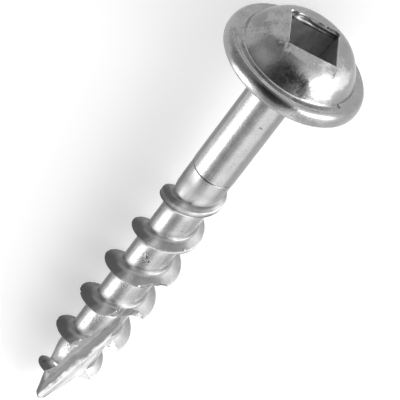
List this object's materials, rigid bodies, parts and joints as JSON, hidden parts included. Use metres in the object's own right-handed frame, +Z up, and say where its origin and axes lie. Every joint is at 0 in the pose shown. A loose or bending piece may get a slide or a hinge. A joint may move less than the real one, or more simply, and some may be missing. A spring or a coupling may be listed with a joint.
{
  "type": "pocket hole screw",
  "caption": "Self-boring wood screw lying at rest: round washer head with a square recess, plain shank, coarse thread and a fluted point.",
  "frame": {"origin": "on the ground under the middle of the screw's own box, as it lies", "axes": "+Z up, +X towards the point and -X towards the head; the head end is 5.4 degrees higher, lifted by its flange"},
  "size_m": [0.035, 0.0094, 0.0093],
  "materials": {
    "steel": "bright zinc plate, fairly glossy"
  },
  "bodies": {
    "root": {"pocket_hole_screw": "steel"}
  },
  "joints": []
}
